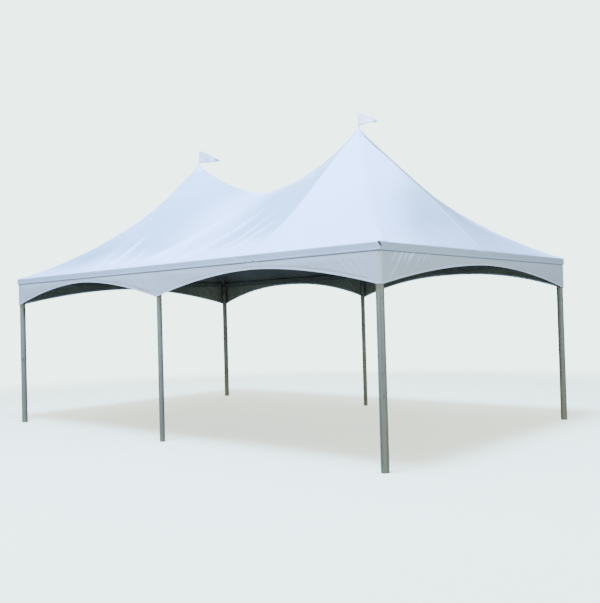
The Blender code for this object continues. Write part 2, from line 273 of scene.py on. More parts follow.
def roof_height(x, y):
    """Height of the tight roof at plan points: the quarter's table read between its points.

    On the side to which a short side's seam drifts, y is first measured from that seam, which
    is no shift at the long eaves. The strip between the seam and the middle stays level.
    """
    drift = short_seam(x)
    shift = np.abs(drift) * np.clip(1 - np.abs(y) / EDGE_Y, 0.0, 1.0)
    y = np.where(y * drift > 0, np.maximum(np.abs(y) - shift, 0.0), y)
    i = np.clip(np.abs(x) / TABLE_STEP, 0, ROOF_TABLE.shape[0] - 1.001)
    j = np.clip(np.abs(y) / TABLE_STEP, 0, ROOF_TABLE.shape[1] - 1.001)
    i0 = i.astype(int)
    j0 = j.astype(int)
    near = ROOF_TABLE[i0, j0] * (1 - (i - i0)) + ROOF_TABLE[i0 + 1, j0] * (i - i0)
    far = ROOF_TABLE[i0, j0 + 1] * (1 - (i - i0)) + ROOF_TABLE[i0 + 1, j0 + 1] * (i - i0)
    return near * (1 - (j - j0)) + far * (j - j0)


# Pull folds of the roof in plan: start, end, half width, height
PULL_FOLDS = (
    ((-0.60, -2.44), (0.30, -0.55), 0.075, 0.060),
    ((-0.02, -2.47), (-0.30, -1.40), 0.034, 0.024),
    ((0.12, -2.48), (1.15, -1.02), 0.030, 0.036),
    ((0.20, -2.40), (1.05, -1.22), 0.026, 0.018),
    ((-0.62, -2.28), (-0.34, -1.45), 0.026, 0.024),
    ((-0.35, -2.26), (0.46, -1.90), 0.028, 0.018),
    ((-1.40, -2.47), (-1.46, -1.35), 0.034, 0.030),
    ((-0.95, -2.44), (-1.10, -1.70), 0.030, 0.015),
    ((1.20, -2.44), (1.66, -1.50), 0.034, 0.018),
    ((0.85, -2.44), (1.45, -1.25), 0.036, 0.0135),
    ((3.40, -0.72), (3.90, -0.60), 0.030, 0.018),
    ((3.62, -2.05), (3.93, -2.40), 0.030, 0.018),
)
CREST_SHARE = 0.8

# A small puff of the roof beside the near corner
PUFF_PLACE = (3.938, -2.430)
PUFF_HALF_WIDTH = 0.030
PUFF_HEIGHT = 0.018


def fold_line(x, y, start, end, half_width, height):
    """A raised fold along a straight line: a bell across it, faded to nothing at both ends."""
    along, across = beside_line(x, y, start, end)
    fade = smoothstep(along, 0.0, 0.18) * smoothstep(1 - along, 0.0, 0.45)
    width = half_width * (1 + 0.6 * np.clip(along, 0.0, 1.0))
    return height * fade * np.exp(-((across / width) ** 2))


def pull_folds(x, y):
    """Height of the roof's pull folds at plan points, and a value that is 1 on their crests.

    The folds of the front repeat at the back, mirrored through the middle of the tent.
    """
    relief = np.zeros_like(x)
    crests = np.zeros_like(x)
    for start, end, half_width, height in PULL_FOLDS:
        for side in (1, -1):
            relief += fold_line(side * x, side * y, start, end, half_width, height)
            crests += fold_line(side * x, side * y, start, end, CREST_SHARE * half_width, 1.0)
    return relief, np.clip(crests, 0.0, 1.0)


def roof_relief(x, y):
    """What the cloth adds to the tight roof: pull folds, slow waves and a bump over each post.

    The waves are products of sines, and they fade out where the cloth is held.
    """
    slow = np.sin(2.3 * x + 1.1 * y + 0.6) * np.sin(1.7 * y - 1.9 * x + 1.3)
    quick = np.sin(5.1 * x - 2.7 * y + 2.0) * np.sin(4.3 * y + 3.1 * x)
    off_eave = np.minimum(EDGE_X - np.abs(x), EDGE_Y - np.abs(y))
    off_peak = np.hypot(np.abs(x) - PEAK_X, y)
    held = smoothstep(off_eave, 0.0, 0.35) * smoothstep(off_peak, 0.08, 0.5)
    relief = pull_folds(x, y)[0] + held * (0.005 * slow + 0.0025 * quick)
    posts = np.exp(-((x / 0.05) ** 2) - ((off_eave - 0.02) / 0.035) ** 2) * 0.006
    return relief * smoothstep(off_eave, 0.0, 0.06) + posts * (np.abs(y) > POST_Y * 0.9)


def puff_bell(x, y, half_width):
    """A round bell over the puff beside the near corner: 1 in its middle."""
    off = np.hypot(x - PUFF_PLACE[0], y - PUFF_PLACE[1])
    return np.exp(-(off / half_width) ** 2)


def corner_puff(x, y):
    """Height of the puff beside the near corner."""
    return PUFF_HEIGHT * puff_bell(x, y, PUFF_HALF_WIDTH)


def roof_skin(plan):
    """Height of the finished roof at plan points."""
    x, y = np.moveaxis(plan, -1, 0)
    return roof_height(x, y) + roof_relief(x, y) + corner_puff(x, y)


# Columns of the roof's grid on each stretch of a quarter's rim, and its rows
VALLEY_COLUMNS = 98
RING_COLUMNS = 8
PEAK_COLUMNS = 28
CORNER_COLUMNS = 8
BESIDE_COLUMNS = 12
BESIDE_WIDTH = 0.075
SHORT_COLUMNS = 26
ROOF_ROWS = 46
FOLD_ROWS = 5
BAND_DEPTHS = (0.0225, 0.027, 0.0315, 0.036, 0.0405, 0.045, 0.0495, 0.054, 0.060, 0.067)


def quarter_rim(inset):
    """Plan points round the eave of the front right quarter, from the middle post's side.

    They run along the front, round the corner and half way up the short side, closer together
    beside the corner. Inset moves them in from the band's outer face.
    """
    radius = max(BAND_RADIUS - inset, 0.001)
    corner_x = EDGE_X - inset - radius
    corner_y = EDGE_Y - inset - radius
    beside_x = corner_x - BESIDE_WIDTH
    beside_y = corner_y - BESIDE_WIDTH
    x_run = np.concatenate([spread(0.0, PEAK_X, VALLEY_COLUMNS),
                            spread(PEAK_X, beside_x, PEAK_COLUMNS),
                            spread(beside_x, corner_x, BESIDE_COLUMNS)])
    y_run = np.concatenate([spread(-corner_y, -beside_y, BESIDE_COLUMNS),
                            spread(-beside_y, 0.0, SHORT_COLUMNS), [0.0]])
    bend = radius * arc(spread(0.0, math.pi / 2, CORNER_COLUMNS)) + (corner_x, -corner_y)
    return np.vstack([paired(x_run, inset - EDGE_Y), bend, paired(EDGE_X - inset, y_run)])


def quarter_top():
    """Plan points of the quarter's upper edge: along the ridge, then round the peak's ring."""
    ridge = paired(spread(0.0, PEAK_X - HOLE_RADIUS, VALLEY_COLUMNS - RING_COLUMNS), 0.0)
    turn = spread(0.0, math.pi / 2, RING_COLUMNS)
    ring = np.column_stack([PEAK_X - HOLE_RADIUS * np.cos(turn), -HOLE_RADIUS * np.sin(turn)])
    rest = quarter_rim(FOLD)[VALLEY_COLUMNS:] - (PEAK_X, 0.0)
    rest *= HOLE_RADIUS / np.hypot(*rest.T)[:, None]
    return np.vstack([ridge, ring, rest + (PEAK_X, 0.0)])


def roof_quarter(mirror):
    """Points of one quarter of the roof: straight runs in plan from its upper edge to its rim.

    The quarter is mirrored into place, and the height is the roof's height there.
    """
    way = eased(ROOF_ROWS, 0.35)[:, None, None]
    plan = (quarter_top() * (1 - way) + quarter_rim(FOLD) * way) * mirror
    return raised(plan, roof_skin(plan))


def rim_way(mirror):
    """Way along the rim from the front's middle post: negative round the left, meeting behind."""
    way = way_along(quarter_rim(0.0))
    return mirror[0] * (way if mirror[1] > 0 else 2 * way[-1] - way)


# Way along the rim to the back's middle post, and where the band is slack: way, reach, strength
BACK_POST_WAY = 2 * (EDGE_X + EDGE_Y - BAND_RADIUS * (2 - math.pi / 2))
SLACK_PLACES = (
    (1.95, 0.24, 1.0),
    (-1.55, 0.10, 0.8),
    (4.28, 0.16, 0.5),
    (6.35, 0.14, 0.4),
    (-8.3, 0.20, 0.5),
    (10.9, 0.25, 0.8),
    (-11.2, 0.25, 0.7),
)


def band_ripple(along, depth):
    """Small waves of the band, outwards: products of sines, strongest where the cloth is slack."""
    slack = 0.12 + np.zeros_like(along)
    for place, reach, strength in SLACK_PLACES:
        slack += strength * np.exp(-(((along - place) / reach) ** 2))
    slack *= smoothstep(BACK_POST_WAY - np.abs(along), 0.0, 0.1)
    wave = np.sin(along * 58 + 3 * np.sin(along * 9.1) - 30 * depth)
    wave *= np.sin(along * 19 + 14 * depth)
    return RIPPLE_HEIGHT * slack * wave * smoothstep(depth, 0.0, 0.03)


# The slit in the band at the near corner: its two ends as (way round the corner, depth)
SLIT_START = (-0.020, -0.004)
SLIT_END = (0.036, 0.064)
SLIT_HALF_WIDTH = 0.0185
SLIT_DENT = 0.003


def slit_share(along, depth):
    """1 in the middle of the corner's slit, 0 outside it: a slanted lens."""
    t, across = beside_line(along - (EDGE_X - BAND_RADIUS), depth, SLIT_START, SLIT_END)
    half_width = SLIT_HALF_WIDTH * np.sin(math.pi * np.clip(t, 0.0, 1.0)) ** 0.7 + 1e-6
    return np.clip(1 - (across / half_width) ** 2, 0.0, 1.0)


def band_quarter(mirror):
    """Points of one quarter of the eave band, from the roof's last row to the hem, and its slit.

    The cloth turns over the eave on a quadratic curve, then hangs. A hem of double cloth steps
    out near the lower edge. The slit's value is 1 in its middle.
    """
    inner = quarter_rim(FOLD) * mirror
    outer = quarter_rim(0.0) * mirror
    normal = outer - quarter_rim(0.001) * mirror
    normal /= np.hypot(*normal.T)[:, None]
    top = raised(inner, roof_skin(inner))
    edge = raised(outer, EAVE_Z + corner_puff(*outer.T))
    low = edge - (0.0, 0.0, FOLD)
    along = rim_way(mirror)
    near = mirror == (1, 1)
    rows = [top]
    slits = [np.zeros_like(along)]
    for t in np.linspace(0.0, 1.0, FOLD_ROWS)[1:]:
        slit = near * slit_share(along, FOLD * t)
        row = (1 - t) ** 2 * top + 2 * t * (1 - t) * edge + t * t * low
        row[:, :2] -= normal * (SLIT_DENT * slit)[:, None]
        rows.append(row)
        slits.append(slit)
    hem = BAND_DROP - BAND_HEM
    hem_depths = (hem - HEM_STEP_REACH, hem + HEM_STEP_REACH, BAND_DROP - 0.009, BAND_DROP)
    for depth in (*BAND_DEPTHS, *hem_depths):
        slit = near * slit_share(along, depth)
        out = band_ripple(along, depth) + HEM_STEP * (depth > hem) - SLIT_DENT * slit
        rows.append(raised(outer + normal * out[:, None], EAVE_Z - depth))
        slits.append(slit)
    return np.stack(rows), np.stack(slits), normal


def grid_quads(shape, closed):
    """Corner indexes of the faces between neighbouring points of one or more grids."""
    index = np.arange(math.prod(shape)).reshape(shape)
    if closed:
        index = np.concatenate([index, index[..., :1]], axis=-1)
    corners = [index[..., :-1, :-1], index[..., :-1, 1:], index[..., 1:, 1:], index[..., 1:, :-1]]
    return np.stack(corners, axis=-1).reshape(-1, 4)


def make_mesh(name, points, uv, closed=False, **values):
    """A mesh over one or more grids of points, with a UV map and more named values on them.

    Closed joins the last column of a grid to its first.
    """
    quads = grid_quads(points.shape[:-1], closed)
    mesh = bpy.data.meshes.new(name)
    mesh.from_pydata(points.reshape(-1, 3), [], quads)
    corners = uv.reshape(-1, 2)[quads.ravel()]
    layer = mesh.uv_layers.new(name="cloth")
    layer.data.foreach_set("uv", corners.astype(np.float32).ravel())
    for key, value in values.items():
        layer = mesh.attributes.new(key, "FLOAT", "POINT")
        layer.data.foreach_set("value", value.astype(np.float32).ravel())
    mesh.update()
    return mesh


def weld(mesh, distance=0.00001, fill_ends=False, towards=None):
    """Merges doubled points, fills open ends where asked, and turns the faces outwards.

    An open sheet's faces are turned so that most look along towards.
    """
    work = bmesh.new()
    work.from_mesh(mesh)
    bmesh.ops.remove_doubles(work, verts=work.verts, dist=distance)
    if fill_ends:
        loose = [edge for edge in work.edges if edge.is_boundary]
        bmesh.ops.holes_fill(work, edges=loose, sides=0)
    bmesh.ops.recalc_face_normals(work, faces=work.faces)
    if towards is not None:
        looking = sum(f.normal.dot(Vector(towards)) * f.calc_area() for f in work.faces)
        if looking < 0:
            bmesh.ops.reverse_faces(work, faces=work.faces)
    work.to_mesh(mesh)
    work.free()


def add_object(name, data):
    """Links new data to the scene as an object."""
    item = bpy.data.objects.new(name, data)
    bpy.context.scene.collection.objects.link(item)
    return item


def add_piece(name, mesh, materials, smooth_angle, thickness=0.0):
    """Links a mesh as a piece of the tent, with its finishes as its materials.

    Thickness goes inwards, and a second material lines the inner face.
    """
    mesh.shade_smooth()
    mesh.set_sharp_from_angle(angle=math.radians(smooth_angle))
    for material in materials:
        mesh.materials.append(material)
    piece = add_object(name, mesh)
    if thickness:
        wall = piece.modifiers.new("thickness", "SOLIDIFY")
        wall.thickness = thickness
        wall.offset = -1.0
        wall.material_offset = len(materials) - 1
    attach(piece, "root")
    return piece


def add_node(tree, kind, inputs=None, **settings):
    """Adds a shader node. An input that is a socket is linked, and any other is set."""
    item = tree.nodes.new(kind)
    for key, value in settings.items():
        setattr(item, key, value)
    for key, value in (inputs or {}).items():
        if isinstance(value, bpy.types.NodeSocket):
            tree.links.new(value, item.inputs[key])
        else:
            item.inputs[key].default_value = value
    return item


def object_coordinates(tree, scale=(1.0, 1.0, 1.0)):
    """Object coordinates, stretched."""
    place = add_node(tree, "ShaderNodeTexCoord").outputs["Object"]
    return add_node(tree, "ShaderNodeMapping", {"Vector": place, "Scale": scale}).outputs["Vector"]


def start_finish(name, **sockets):
    """A material whose Principled shader has these numbers set on its own sockets."""
    material = bpy.data.materials.new(name)
    material.use_nodes = True
    tree = material.node_tree
    shader = tree.nodes["Principled BSDF"]
    for key, value in sockets.items():
        shader.inputs[key.replace("_", " ")].default_value = value
    return material, tree, shader, object_coordinates(tree)


def noise(tree, vector, scale, detail=3.0, roughness=0.5):
    """Smooth noise over a vector, from 0 to 1."""
    inputs = {"Vector": vector, "Scale": scale, "Detail": detail, "Roughness": roughness}
    return add_node(tree, "ShaderNodeTexNoise", inputs).outputs["Fac"]


def ramp(tree, value, *stops):
    """A colour ramp through two (place, colour) stops; a colour may be one number."""
    item = add_node(tree, "ShaderNodeValToRGB", {"Fac": value})
    for element, (place, colour) in zip(item.color_ramp.elements, stops):
        element.position = place
        element.color = (*np.broadcast_to(colour, 3), 1.0)
    return item.outputs["Color"]


def patches(tree, vector, scale, detail, roughness, *stops):
    """Irregular patches: noise run through a ramp of two (place, colour) stops."""
    return ramp(tree, noise(tree, vector, scale, detail, roughness), *stops)


def mix(tree, share, first, second, blend="MIX"):
    """Mixes two colours by a share."""
    item = add_node(tree, "ShaderNodeMix", data_type="RGBA", blend_type=blend)
    for key, value in (("Factor", share), ("A", first), ("B", second)):
        socket = next(s for s in item.inputs if s.name == key and s.enabled)
        if isinstance(value, bpy.types.NodeSocket):
            tree.links.new(value, socket)
        else:
            socket.default_value = (*value, 1.0) if isinstance(value, tuple) else value
    return next(s for s in item.outputs if s.enabled)


def calculate(tree, operation, first, second=0.0):
    """One step of arithmetic on a value, or on two."""
    item = add_node(tree, "ShaderNodeMath", {0: first, 1: second}, operation=operation)
    return item.outputs[0]


def map_range(tree, value, low, high, to_low=0.0, to_high=1.0):
    """Turns a value into a smooth step between two outputs."""
    inputs = {"Value": value, "From Min": low, "From Max": high, "To Min": to_low, "To Max": to_high}
    item = add_node(tree, "ShaderNodeMapRange", inputs, interpolation_type="SMOOTHSTEP")
    return item.outputs["Result"]


def axis_value(tree, vector, axis):
    """One coordinate of a vector."""
    return add_node(tree, "ShaderNodeSeparateXYZ", {"Vector": vector}).outputs[axis]


def mesh_value(tree, name):
    """A named value of the mesh's points."""
    return add_node(tree, "ShaderNodeAttribute", attribute_name=name).outputs["Fac"]


def cloth_uv(tree):
    """Place on the cloth laid flat, in metres."""
    return add_node(tree, "ShaderNodeUVMap", uv_map="cloth").outputs["UV"]


def bump(tree, shader, height, distance, strength):
    """Links a height to the shader's normal, over any bump already there."""
    inputs = {"Height": height, "Distance": distance, "Strength": strength}
    before = shader.inputs["Normal"].links
    if before:
        inputs["Normal"] = before[0].from_socket
    item = add_node(tree, "ShaderNodeBump", inputs)
    tree.links.new(item.outputs["Normal"], shader.inputs["Normal"])


def weave(tree, shader, pitch, strength):
    """The cross weave under a coating: two families of fine bands over each other."""
    inputs = {"Vector": cloth_uv(tree), "Scale": 2 * math.pi / 20 / pitch}
    warp = add_node(tree, "ShaderNodeTexWave", inputs, bands_direction="X").outputs["Fac"]
    weft = add_node(tree, "ShaderNodeTexWave", inputs, bands_direction="Y").outputs["Fac"]
    bump(tree, shader, calculate(tree, "MULTIPLY", warp, weft), 0.0003, strength)


# Stitches: their pitch along a row, the thread's share of it, and half the thread's width
STITCH_PITCH = 0.007
STITCH_SHARE = 0.62
THREAD_HALF_WIDTH = 0.0009


def stitches(tree, rows):
    """1 on the threads of stitch rows at given heights of the UV map, 0 between them."""
    uv = cloth_uv(tree)
    along = calculate(tree, "DIVIDE", axis_value(tree, uv, "X"), STITCH_PITCH)
    dash = calculate(tree, "LESS_THAN", calculate(tree, "FRACT", along), STITCH_SHARE)
    across = axis_value(tree, uv, "Y")
    total = 0.0
    for row in rows:
        off = calculate(tree, "ABSOLUTE", calculate(tree, "SUBTRACT", across, row))
        line = calculate(tree, "LESS_THAN", off, THREAD_HALF_WIDTH)
        total = calculate(tree, "MAXIMUM", line, total)
    return calculate(tree, "MULTIPLY", dash, total)


# Tones that cloth is multiplied by: in painted shade, in painted shade on the short sides, in
# painted shade on the band, and in the band's painted shadow below it
PAINTED_SHADE_TONE = (0.42, 0.56, 0.50)
PAINTED_SIDE_SHADE_TONE = (0.34, 0.36, 0.22)
BAND_PAINTED_SHADE_TONE = (0.52, 0.53, 0.50)
BAND_SHADOW_TONE = (0.38, 0.39, 0.42)

# Other colours and sizes of the finishes
SLIT_PAINTED_SHADE = (0.012, 0.011, 0.017)
FOOT_GREEN = (0.16, 0.19, 0.10)
POLE_BAND_DARK = (0.10, 0.11, 0.10)
POLE_BAND_LOW = 4.628
POLE_BAND_HIGH = 4.662
WEAVE_PITCH = 0.0022
PENNANT_PITCH = 0.0014


def coated_cloth(name, light, shade, soil, roughness, pitch=WEAVE_PITCH, stitch_rows=(),
                 painted_shade=False, band=False, under_band=False):
    """White coated fabric: slow tone changes, faint soiling, fine crumple and a weave.

    Where painted shade is asked for, the mesh's shade value darkens the cloth softly. With a
    band, a second value paints shade on the short sides, the cloth below the eave is darker as
    painted shade, and the slit is painted black as the shade in its gap. Under the band, a
    painted shadow of the band runs along the cloth's upper edge.
    """
    material, tree, shader, place = start_finish(
        name, Roughness=roughness, IOR=1.46, Sheen_Weight=0.15, Sheen_Roughness=0.6,
        Specular_IOR_Level=0.4)
    colour = patches(tree, place, 0.55, 4.0, 0.5, (0.35, light), (0.68, shade))
    blotch = patches(tree, place, 3.1, 6.0, 0.62, (0.52, 0.0), (0.80, 0.22))
    colour = mix(tree, blotch, colour, soil)
    upright = object_coordinates(tree, (2.2, 2.2, 0.35))
    streak = patches(tree, upright, 2.6, 5.0, 0.6, (0.55, 0.0), (0.78, 0.16))
    colour = mix(tree, streak, colour, soil)
    if painted_shade:
        # Painted shade: the mesh's shade value darkens the cloth by the painted shade tone.
        colour = mix(tree, mesh_value(tree, "shade"), colour, PAINTED_SHADE_TONE, "MULTIPLY")
    if band:
        # Painted shade on the short sides: the end faces and the strip beyond each side's seam.
        colour = mix(tree, mesh_value(tree, "dusk"), colour, PAINTED_SIDE_SHADE_TONE, "MULTIPLY")
        # Painted shade: the upright band below the eave is darker, as it gets less light from above.
        below = map_range(tree, axis_value(tree, place, "Z"), EAVE_Z - 0.014, EAVE_Z, 1.0, 0.0)
        colour = mix(tree, below, colour, BAND_PAINTED_SHADE_TONE, "MULTIPLY")
        # The slit is painted black as the shade inside its gap; its dent is only a few millimetres.
        slit = map_range(tree, mesh_value(tree, "slit"), 0.05, 0.5)
        colour = mix(tree, slit, colour, SLIT_PAINTED_SHADE)
    if under_band:
        # Painted shadow: a dark line where the band's edge shades the cloth below it.
        line = map_range(tree, axis_value(tree, place, "Z"), SEAM_Z - 0.016, SEAM_Z - 0.008)
        colour = mix(tree, line, colour, BAND_SHADOW_TONE, "MULTIPLY")
    if stitch_rows:
        thread = stitches(tree, stitch_rows)
        colour = mix(tree, calculate(tree, "MULTIPLY", thread, 0.5), colour, soil)
        bump(tree, shader, thread, 0.0005, 0.8)
    tree.links.new(colour, shader.inputs["Base Color"])
    gloss = patches(tree, place, 6.0, 5.0, 0.5, (0.3, roughness - 0.07), (0.7, roughness + 0.08))
    tree.links.new(gloss, shader.inputs["Roughness"])
    bump(tree, shader, noise(tree, place, 7.0, 4.0, 0.55), 0.004, 0.35)
    bump(tree, shader, noise(tree, place, 34.0, 3.0, 0.6), 0.0012, 0.25)
    weave(tree, shader, pitch, 0.25)
    return material


def painted_shade_lining(name, light, dark):
    """The back of the cloth, painted dark as the shade under the roof and behind the valances."""
    material, tree, shader, place = start_finish(name, Roughness=0.75, Sheen_Weight=0.1,
                                                 Specular_IOR_Level=0.25)
    colour = patches(tree, place, 1.3, 5.0, 0.6, (0.3, dark), (0.75, light))
    tree.links.new(colour, shader.inputs["Base Color"])
    bump(tree, shader, noise(tree, place, 9.0, 4.0), 0.003, 0.3)
    weave(tree, shader, WEAVE_PITCH, 0.3)
    return material


def aluminium(name, light, dark, stain=None):
    """Weathered extruded aluminium tube.

    Fine drawn lines and broad upright bands of tone run along it, with oxide patches and a few
    smudges. A stain makes it a leg: the stain tinges the bands of its lower half, its upper
    half is paler as painted light from above, and its foot is green.
    """
    material, tree, shader, place = start_finish(name, Metallic=0.35, Roughness=0.55,
                                                 Specular_IOR_Level=0.5)
    lines = noise(tree, object_coordinates(tree, (30.0, 30.0, 0.8)), 6.0, 4.0, 0.6)
    fine = ramp(tree, lines, (0.30, dark), (0.72, light))
    upright = object_coordinates(tree, (30.0, 30.0, 0.55))
    broad = patches(tree, upright, 1.0, 2.0, 0.5, (0.32, dark), (0.66, light))
    oxide = patches(tree, place, 5.0, 6.0, 0.65, (0.46, 0.0), (0.66, 0.40))
    colour = mix(tree, oxide, mix(tree, 0.6, fine, broad), dark)
    if stain:
        height = axis_value(tree, place, "Z")
        upright = object_coordinates(tree, (24.0, 24.0, 0.5))
        tinge = patches(tree, upright, 1.0, 2.0, 0.5, (0.42, 0.0), (0.58, 1.0))
        lower = map_range(tree, height, 0.3, 1.5, 0.85, 0.0)
        colour = mix(tree, calculate(tree, "MULTIPLY", lower, tinge), colour, stain)
        # Painted light: the upper half of a leg is paler, as if lit more from above.
        upper = map_range(tree, height, 0.3, 1.9, 0.0, 0.75)
        colour = mix(tree, upper, colour, tuple(1.25 * c for c in light))
        foot = map_range(tree, height, 0.02, 0.11, 0.65, 0.0)
        colour = mix(tree, foot, colour, FOOT_GREEN)
    handled = object_coordinates(tree, (8.0, 8.0, 5.0))
    smudge = patches(tree, handled, 1.7, 3.0, 0.5, (0.64, 0.0), (0.72, 0.55))
    colour = mix(tree, smudge, colour, tuple(0.45 * c for c in dark))
    tree.links.new(colour, shader.inputs["Base Color"])
    gloss = ramp(tree, lines, (0.25, 0.45), (0.75, 0.70))
    tree.links.new(gloss, shader.inputs["Roughness"])
    bump(tree, shader, lines, 0.0006, 0.35)
    bump(tree, shader, noise(tree, place, 60.0, 3.0), 0.0004, 0.2)
    return material


def casting(name, light, dark):
    """Cast aluminium: a grainy skin, darker in patches."""
    material, tree, shader, place = start_finish(name, Metallic=0.7, Roughness=0.55)
    colour = patches(tree, place, 9.0, 6.0, 0.65, (0.35, dark), (0.70, light))
    tree.links.new(colour, shader.inputs["Base Color"])
    gloss = patches(tree, place, 25.0, 4.0, 0.5, (0.3, 0.45), (0.7, 0.68))
    tree.links.new(gloss, shader.inputs["Roughness"])
    bump(tree, shader, noise(tree, place, 260.0, 3.0, 0.6), 0.0008, 0.4)
    return material


def painted_metal(name, light, dark):
    """Pale painted metal: nearly even, a little chalky, and dark in a band just above the cap."""
    material, tree, shader, place = start_finish(name, Metallic=0.1, Roughness=0.5)
    colour = patches(tree, place, 22.0, 5.0, 0.6, (0.35, light), (0.75, dark))
    height = axis_value(tree, place, "Z")
    above = map_range(tree, height, POLE_BAND_LOW, POLE_BAND_LOW + 0.004)
    below = map_range(tree, height, POLE_BAND_HIGH - 0.004, POLE_BAND_HIGH, 0.9, 0.0)
    colour = mix(tree, calculate(tree, "MULTIPLY", above, below), colour, POLE_BAND_DARK)
    tree.links.new(colour, shader.inputs["Base Color"])
    bump(tree, shader, noise(tree, place, 150.0, 3.0), 0.0003, 0.3)
    return material


def moulded_plastic(name, light, dark):
    """Moulded plastic: nearly even, with fine grain and light soiling."""
    material, tree, shader, place = start_finish(name, Roughness=0.42, IOR=1.49)
    colour = patches(tree, place, 14.0, 5.0, 0.6, (0.35, light), (0.75, dark))
    tree.links.new(colour, shader.inputs["Base Color"])
    bump(tree, shader, noise(tree, place, 300.0, 2.0), 0.0003, 0.3)
    return material


# Cloths: light tone, shade tone, soil, roughness
ROOF_CLOTH = coated_cloth("roof_cloth", (0.72, 0.88, 1.00), (0.67, 0.83, 0.97),
                          (0.56, 0.70, 0.84), 0.46, painted_shade=True, band=True)
# The collars' cloth is the roof's, darker as painted shade to match the roof round the peaks.
PAINTED_SHADE_COLLAR_CLOTH = coated_cloth("painted_shade_collar_cloth", (0.49, 0.67, 0.83), (0.46, 0.63, 0.79),
                            (0.40, 0.54, 0.69), 0.46)
SEAM_CLOTH = coated_cloth("seam_cloth", (0.54, 0.68, 0.80), (0.50, 0.63, 0.75),
                          (0.36, 0.46, 0.55), 0.42, stitch_rows=(-0.0095, 0.0095))
HEM_CLOTH = coated_cloth("hem_cloth", (0.55, 0.62, 0.66), (0.50, 0.57, 0.61),
                         (0.36, 0.41, 0.45), 0.45, stitch_rows=(0.017,))
# The valances' white cloth, greyer as painted shade, since they hang upright and get less light.
PAINTED_SHADE_VALANCE_CLOTH = coated_cloth("painted_shade_valance_cloth", (0.43, 0.50, 0.51), (0.39, 0.46, 0.47),
                             (0.33, 0.38, 0.40), 0.52, under_band=True)
PENNANT_CLOTH = coated_cloth("pennant_cloth", (0.95, 0.99, 0.98), (0.92, 0.97, 0.97),
                             (0.85, 0.89, 0.90), 0.60, PENNANT_PITCH, painted_shade=True)
# The left pennant: the same white cloth, darker as painted shade.
PAINTED_SHADE_PENNANT_CLOTH = coated_cloth("painted_shade_pennant_cloth", (0.58, 0.62, 0.66), (0.52, 0.56, 0.61),
                                  (0.46, 0.48, 0.54), 0.60, PENNANT_PITCH, painted_shade=True)

# Linings, metals and plastic: light tone, dark tone, and the legs' stain
# Linings painted dark as the shade under the roof.
ROOF_PAINTED_SHADE_LINING = painted_shade_lining("roof_painted_shade_lining", (0.175, 0.190, 0.132), (0.100, 0.110, 0.078))
VALANCE_PAINTED_SHADE_LINING = painted_shade_lining("valance_painted_shade_lining", (0.215, 0.235, 0.145), (0.130, 0.143, 0.088))
LEG_METAL = aluminium("leg_metal", (0.150, 0.160, 0.122), (0.102, 0.108, 0.080), (0.20, 0.19, 0.09))
# The eave beams' aluminium, dark and greenish like the linings as painted shade under the roof.
BEAM_PAINTED_SHADE_METAL = aluminium("beam_painted_shade_metal", (0.150, 0.165, 0.110), (0.095, 0.105, 0.070))
RAFTER_METAL = aluminium("rafter_metal", (0.165, 0.180, 0.160), (0.105, 0.115, 0.100))
POLE_METAL = painted_metal("pole_paint", (0.80, 0.86, 0.84), (0.70, 0.76, 0.76))
CAST_METAL = casting("cast_metal", (0.13, 0.145, 0.105), (0.075, 0.085, 0.060))
# The caps' own bluish white, toned down as painted shade to match the roof round the peaks.
CAP_PLASTIC = moulded_plastic("cap_plastic", (0.49, 0.66, 0.81), (0.45, 0.61, 0.77))

# How the name of each CAD node that stays begins, and its finish
NODE_FINISHES = {
    "leg_": LEG_METAL,
    "eave_beam_": BEAM_PAINTED_SHADE_METAL,
    "bracket_": CAST_METAL,
    "rafter_hub_": CAST_METAL,
    "rafter_": RAFTER_METAL,
    "mast_": RAFTER_METAL,
    "flagpole_": POLE_METAL,
    "peak_cap_": CAP_PLASTIC,
}


def finish_frame():
    """Gives each CAD node that stays its own metal or plastic, by the first name that fits."""
    for name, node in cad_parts.items():
        finish = next((f for start, f in NODE_FINISHES.items() if name.startswith(start)), None)
        if finish:
            node.data.materials.clear()
            node.data.materials.append(finish)


# Soft patches of painted shade on the roof in plan: centre, reach along x and y, strength
PAINTED_SHADE_PATCHES = (
    ((-2.60, -1.85), (1.00, 0.45), 1.00),
    ((-1.30, -1.80), (1.10, 0.34), 0.85),
    ((1.75, -0.75), (0.50, 0.60), 1.00),
)

# How far below the eave the roof's painted shades still show, and how wide the painted highlight
# beside the puff is
PAINTED_SHADE_END = 0.010
PAINTED_HIGHLIGHT_HALF_WIDTH = 0.045

# How far the strip of painted shade on the short sides reaches over its seam near the peak
PAINTED_SIDE_SHADE_LINE = 0.040


